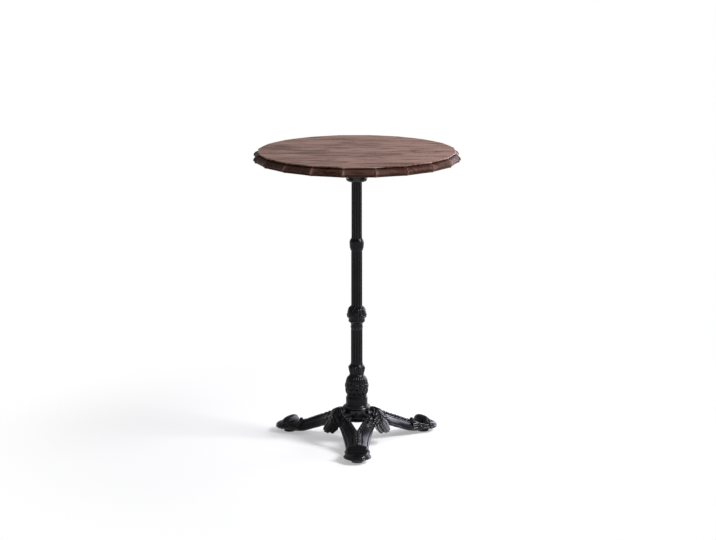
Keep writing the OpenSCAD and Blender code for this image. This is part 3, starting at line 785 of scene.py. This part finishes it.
def armSection(row):
    p, q, outward = Vector(row[0:3]), Vector(row[3:6]), sideways(row[6])
    face = armFace(p, q, outward, legSet["faceStart"])
    return ([p + out * outward + high * up for out, high in legSet["railSection"]]
            + [face(share, lift) for share, lift in legSet["faceRelief"]]
            + [q + out * outward + high * up for out, high in legSet["underSection"]])


def cutAtShoulder(bm):  # nothing passes the plane where two legs meet
    bmesh.ops.bisect_plane(bm, geom=bm.verts[:] + bm.edges[:] + bm.faces[:], plane_co=(0, 0, 0),
                           plane_no=sideways(legSet["shoulder"] + 90), clear_outer=True)
    bmesh.ops.holes_fill(bm, edges=[edge for edge in bm.edges if edge.is_boundary])


def makeArm():
    bm = loft([armSection(row) for row in armRows(7)])
    cutAtShoulder(bm)
    join(bm, box(legSet["flange"]), rotated(legSet["shoulder"]) @ shifted(*legSet["flangePlace"]))
    walked = 0.0
    rows = armRows(12)
    for before, here in zip(rows, rows[1:]):
        rail = Vector(here[0:3])
        walked += (rail - Vector(before[0:3])).length
        if walked >= legSet["beadStep"] and rail.x < legSet["beadEnd"]:
            walked -= legSet["beadStep"]
            bead = rail + sideways(here[6]) * legSet["beadAside"] - up * legSet["beadSunk"]
            join(bm, ball(legSet["beadRadius"]), shifted(*bead))
    return bm


# foliage on the outer face of an arm next to the shoulder: along the arm it reaches over so many rows of the
# arm, and its fingers are counted by phase

armLeafSet = {"alongSteps": 56, "downSteps": 48, "rows": 12, "midline": 0.9, "lobes": 4.2, "sweep": 1.3,
              "firstLobe": 0.4, "reach": 52, "reachLoss": 20, "faceStart": (8, -4),
              "faceShare": (-0.08, 0.96), "fingerShare": 0.08, "base": 1.6, "fingers": 5.4,
              "fingersFrom": (0.06, 0.3), "rib": 4.6, "ribWide": 0.14, "vein": 1.3, "veinWide": 0.09,
              "pit": 2.4, "pitLong": 0.16, "pitAt": 0.4, "pitWide": 0.12, "tipFrom": (1.0, 0.8), "thick": 4}


def lobe(phase):  # 1 in the middle of a leaf's finger, 0 between two
    return 1 - abs(2 * (phase % 1) - 1) ** 2.4


def fromGap(phase):
    return abs(phase - round(phase))


def faceUpwards(bm, rises):  # turns an open skin round if it looks down
    bmesh.ops.recalc_face_normals(bm, faces=bm.faces)
    if rises(bm.faces) < 0:
        bmesh.ops.reverse_faces(bm, faces=bm.faces)


def makeArmLeaf():
    look = armLeafSet
    rows = armRows(look["rows"])
    bm = bmesh.new()
    bmesh.ops.create_grid(bm, x_segments=look["alongSteps"], y_segments=look["downSteps"], size=1)
    for vert in bm.verts:
        along, down = (1 + vert.co.x) / 2, (1 - vert.co.y) / 2
        across = abs(2 * down - look["midline"])
        phase = along * look["lobes"] - look["sweep"] * across + look["firstLobe"]
        finger = lobe(phase)
        spot = along * (look["reach"] - look["reachLoss"] * across ** 2)
        row, after = rows[int(spot)], rows[int(spot) + 1]
        p, q = (Vector(row[k:k + 3]).lerp(Vector(after[k:k + 3]), spot % 1) for k in (0, 3))
        pit = look["pit"] * hill(fromGap(phase), look["pitLong"])
        lift = (look["base"] + look["fingers"] * finger * ease(*look["fingersFrom"], across)
                + look["rib"] * hill(across, look["ribWide"])
                - look["vein"] * hill(phase % 1 - 0.5, look["veinWide"])
                - pit * hill(across - look["pitAt"], look["pitWide"]))
        share = look["faceShare"][0] + (look["faceShare"][1] + look["fingerShare"] * finger) * down
        face = armFace(p, q, sideways(row[6]), look["faceStart"])
        vert.co = face(share, lift * ease(*look["tipFrom"], along)) * mm
    faceUpwards(bm, lambda faces: sum(face.normal.z * face.calc_area() for face in faces))
    bmesh.ops.solidify(bm, geom=bm.faces[:], thickness=look["thick"] * mm)
    cutAtShoulder(bm)
    return bm


# scroll: a drum across the foot, with two sunk bands on each half and a spiral and an eye in each end

scrollSet = {"radius": 21, "half": 39, "place": (286, 0, 39), "endShare": 0.62, "endRows": 16,
             "side": [(0.62, 1.0), (0.8, 0.88), (0.93, 0.6), (0.99, 0.3), (1, 0)], "endFace": 0.86,
             "bands": [(13, 0.9), (22, 0.8)], "bandDeep": 0.9, "turns": 2.4, "spiralDeep": 1.6,
             "spiralFrom": (5, 7), "spiralTo": 0.82, "spiralFade": (0.85, 0.75),
             "eye": (7, 7, 3.5), "eyeSunk": 0.6}


def makeScroll():
    radius, half = scrollSet["radius"], scrollSet["half"]
    endRadius = radius * scrollSet["endShare"]
    upper = [(endRadius * k / scrollSet["endRows"], half) for k in range(scrollSet["endRows"])]
    upper += [(r * radius, t * half) for r, t in softLine(scrollSet["side"], 6)]

    def relief(angle, height, r):
        bands = sum(hill(abs(height) - middle, wide) for middle, wide in scrollSet["bands"])
        return -scrollSet["bandDeep"] * bands if r > endRadius + 0.1 else 0.0

    bm = turned(upper + [(r, -t) for r, t in reversed(upper[:-1])], 120, relief, ring=False)
    inner, outer = scrollSet["spiralFrom"][0], radius * scrollSet["spiralTo"]
    for vert in bm.verts:
        r = math.hypot(vert.co.x, vert.co.y) / mm
        if abs(vert.co.z) > half * scrollSet["endFace"] * mm and r > inner:
            phase = (r - inner) / (outer - inner) * scrollSet["turns"]
            phase -= math.atan2(vert.co.y, vert.co.x) / math.tau
            shown = ease(*scrollSet["spiralFrom"], r) * ease(*scrollSet["spiralFade"], r / radius)
            sunk = scrollSet["spiralDeep"] * (0.5 - 0.5 * math.cos(math.tau * phase)) ** 1.5 * shown
            vert.co.z -= math.copysign(sunk * mm, vert.co.z)
    for side in (-1, 1):
        join(bm, ellipsoid(scrollSet["eye"], 32, 16), shifted(0, 0, side * (half - scrollSet["eyeSunk"])))
    return bm


# foot: sections as (out from the axis, half width, top, underside), and their profile as shares of width and
# height; the heel is a turned pad drawn out along the leg

footSet = {"sections": [(226, 41, 47, 17), (238, 41.5, 49, 17), (247, 42, 47, 17), (258, 43, 44, 17),
                        (270, 45, 44, 17), (282, 47, 44, 17), (290, 47.6, 43, 17), (294, 50, 44.5, 16.5),
                        (298, 50.4, 44.3, 16.5), (302, 48.4, 41, 17), (308, 47.5, 39.5, 17),
                        (318, 42.5, 37.5, 17), (328, 34.5, 35.5, 17), (336, 25.5, 31.5, 16.5),
                        (341, 17, 27.5, 16), (343, 9, 24.5, 16)],
           "profile": [(1, 0), (1, 0.2), (0.985, 0.28), (0.93, 0.34), (0.885, 0.37), (0.87, 0.42),
                       (0.885, 0.47), (0.88, 0.55), (0.85, 0.59), (0.825, 0.62), (0.83, 0.68), (0.8, 0.77),
                       (0.7, 0.86), (0.52, 0.935), (0.27, 0.985), (0, 1)],
           "heel": [(0, 9.6), (23, 9.6), (24, 10.2), (26.5, 12.5), (29.5, 16.5), (32, 21.6), (0, 21.6)],
           "heelLong": [(9.6, 1.83), (21.6, 1.47)], "heelOut": 290,
           "panels": [(15, 2.2, 8.5), (11, 4.2, 5.5)], "panelPlace": (257, 42.2, 27),
           "knob": (8, 9, 9), "knobPlace": (239, 0, 49)}


def makeFoot():
    half = footSet["profile"]
    profile = half + [(-share, high) for share, high in reversed(half[:-1])]
    bm = loft([[(r, share * wide, low + high * (top - low)) for share, high in profile]
               for r, wide, top, low in softLine(footSet["sections"], 5)])
    join(bm, makeScroll(), shifted(*scrollSet["place"]) @ rotated(90, "X"))
    heel = turned(footSet["heel"], 96, ring=False)
    for vert in heel.verts:
        vert.co.x *= level(footSet["heelLong"], vert.co.z / mm)
    join(bm, heel, shifted(footSet["heelOut"], 0, 0))
    out, aside, high = footSet["panelPlace"]
    for side in (-1, 1):
        for halves in footSet["panels"]:
            join(bm, ellipsoid(halves, 40, 20), shifted(out, side * aside, high))
    join(bm, ellipsoid(footSet["knob"], 32, 20), shifted(*footSet["knobPlace"]))
    return bm


def makeLeg():
    bm = makeArm()
    join(bm, makeArmLeaf())
    other = makeArm()
    join(other, makeArmLeaf())
    bmesh.ops.scale(other, vec=(1, -1, 1), verts=other.verts)
    bmesh.ops.reverse_faces(other, faces=other.faces)
    join(bm, other)
    join(bm, makeFoot())
    return bm


for number, turn in enumerate(legTurns, 1):
    addPiece(f"legCarved{number}", makeLeg(), ironPaint, [f"leg_{number}"], sharpAngle=50, turn=turn)
print("legs made")


# shoulder leaves: spine as (out from the axis, height, half width, turn of the face above the horizontal);
# notches and seams as (depth, place across, width), with the place from 0 at the midrib to 1 at the edge

leafSet = {"spine": [(58, 132, 14, 105), (68, 135, 22, 95), (80, 133, 28, 72), (91, 125, 33, 45),
                     (98, 112, 36, 22), (102, 98, 39, 16), (106, 84, 43, 18), (112, 72, 46, 25),
                     (120, 60, 46, 35), (127, 51, 43, 48), (131, 46, 36, 60)],
           "along": 110, "across": 80, "thick": 3.6, "droop": 5, "lobes": 4.4, "sweep": 1.15,
           "firstLobe": 0.35, "base": 1.2, "crown": 2.6, "fanCrown": 2.2, "palmFrom": (0.5, 0.7),
           "endFrom": (0.4, 1), "endSteps": [(0.11, 0.3, 0.6), (0.16, 0.7, 1)],
           "endNotches": [(0.08, 0.47, 0.07), (0.05, 0, 0.05)],
           "fanSeams": [(3.6, 0.48, 0.07), (1.1, 0, 0.05), (0.8, 0.22, 0.05), (1.0, 0.76, 0.06)],
           "rib": 2.2, "ribWide": 0.07, "ribSeams": [(1.6, 0.15, 0.05)], "gaps": 3.2, "gapsFrom": (0.1, 0.4),
           "pit": 1.6, "pitLong": 0.14, "pitAt": 0.5, "pitWide": 0.1, "vein": 0.7, "veinWide": 0.07,
           "notch": 0.24, "notchLong": 0.16, "notchFades": [(0.08, 0.2), (0.75, 0.6)],
           "screwHigh": 104, "seatRadius": 8.5, "seatOut": 101.8,
           "boss": [(0, 82), (9, 82), (9, 97), (0, 97)]}


def seams(rows, x):
    return sum(deep * hill(abs(x) - middle, wide) for deep, middle, wide in rows)


def leafEnd(x):  # share of the spine at which the three fingers of the lower edge end
    steps = sum(deep * ease(low, high, abs(x)) for deep, low, high in leafSet["endSteps"])
    return 1 - steps - seams(leafSet["endNotches"], x)


def leafRelief(s, x):
    palm = ease(*leafSet["palmFrom"], s)
    fan = leafSet["fanCrown"] * (1 - x * x) - seams(leafSet["fanSeams"], x)
    phase = s * leafSet["lobes"] - leafSet["sweep"] * abs(x) + leafSet["firstLobe"]
    opened = ease(*leafSet["gapsFrom"], abs(x))
    pit = leafSet["pit"] * hill(fromGap(phase), leafSet["pitLong"])
    upper = (leafSet["rib"] * hill(x, leafSet["ribWide"]) - seams(leafSet["ribSeams"], x)
             - leafSet["gaps"] * (1 - lobe(phase)) * opened
             - pit * hill(abs(x) - leafSet["pitAt"], leafSet["pitWide"])
             - leafSet["vein"] * hill(phase % 1 - 0.5, leafSet["veinWide"]) * opened)
    return leafSet["base"] + leafSet["crown"] * (1 - x * x) + upper * (1 - palm) + fan * palm


def makeLeaf():
    bm = bmesh.new()
    bmesh.ops.create_grid(bm, x_segments=leafSet["across"], y_segments=leafSet["along"], size=1)
    spine = softLine(leafSet["spine"], 20)
    for vert in bm.verts:
        x = vert.co.x
        s = (1 - vert.co.y) / 2
        spot = s * (1 + (leafEnd(x) - 1) * ease(*leafSet["endFrom"], s)) * (len(spine) - 1)
        k = min(int(spot), len(spine) - 2)
        out, high, wide, turn = (a + (b - a) * (spot - k) for a, b in zip(spine[k], spine[k + 1]))
        normal = Vector((math.cos(math.radians(turn)), 0, math.sin(math.radians(turn))))
        gap = fromGap(s * leafSet["lobes"] - leafSet["sweep"] + leafSet["firstLobe"])
        notch = leafSet["notch"] * hill(gap, leafSet["notchLong"]) * x * x * faded(leafSet["notchFades"], s)
        point = Vector((out, x * wide * (1 - notch), high))
        point += normal * (leafRelief(s, x) - leafSet["droop"] * x * x)
        if math.hypot(point.y, point.z - leafSet["screwHigh"]) < leafSet["seatRadius"]:
            point.x = min(point.x, leafSet["seatOut"])
        vert.co = point * mm
    faceUpwards(bm, lambda faces: max(faces, key=lambda face: face.calc_center_median().x).normal.x)
    bmesh.ops.solidify(bm, geom=bm.faces[:], thickness=leafSet["thick"] * mm)
    join(bm, turned(leafSet["boss"], 48, ring=False), shifted(0, 0, leafSet["screwHigh"]) @ rotated(90, "Y"))
    return bm


for number, turn in enumerate(shoulderTurns, 1):
    addPiece(f"shoulderLeafCarved{number}", makeLeaf(), ironPaint, [f"shoulder_leaf_{number}"], turn=turn)
print("leaves made")


# the CAD nodes, of which the spider, the fasteners and the glides show as they are

nodeFinish = {"tabletop": topWood, "spider_screws": steel, "tie_rod": steel, "top_washer": steel,
              "top_nut": steel, "leg_bolts": steel, "bottom_washer": steel, "bottom_nut": steel}

for name, node in nodes.items():
    finish = rubber if "pad" in name else steel if "stem" in name else nodeFinish.get(name, ironPaint)
    node.data.materials.clear()
    node.data.materials.append(finish)
print("CAD nodes dressed")
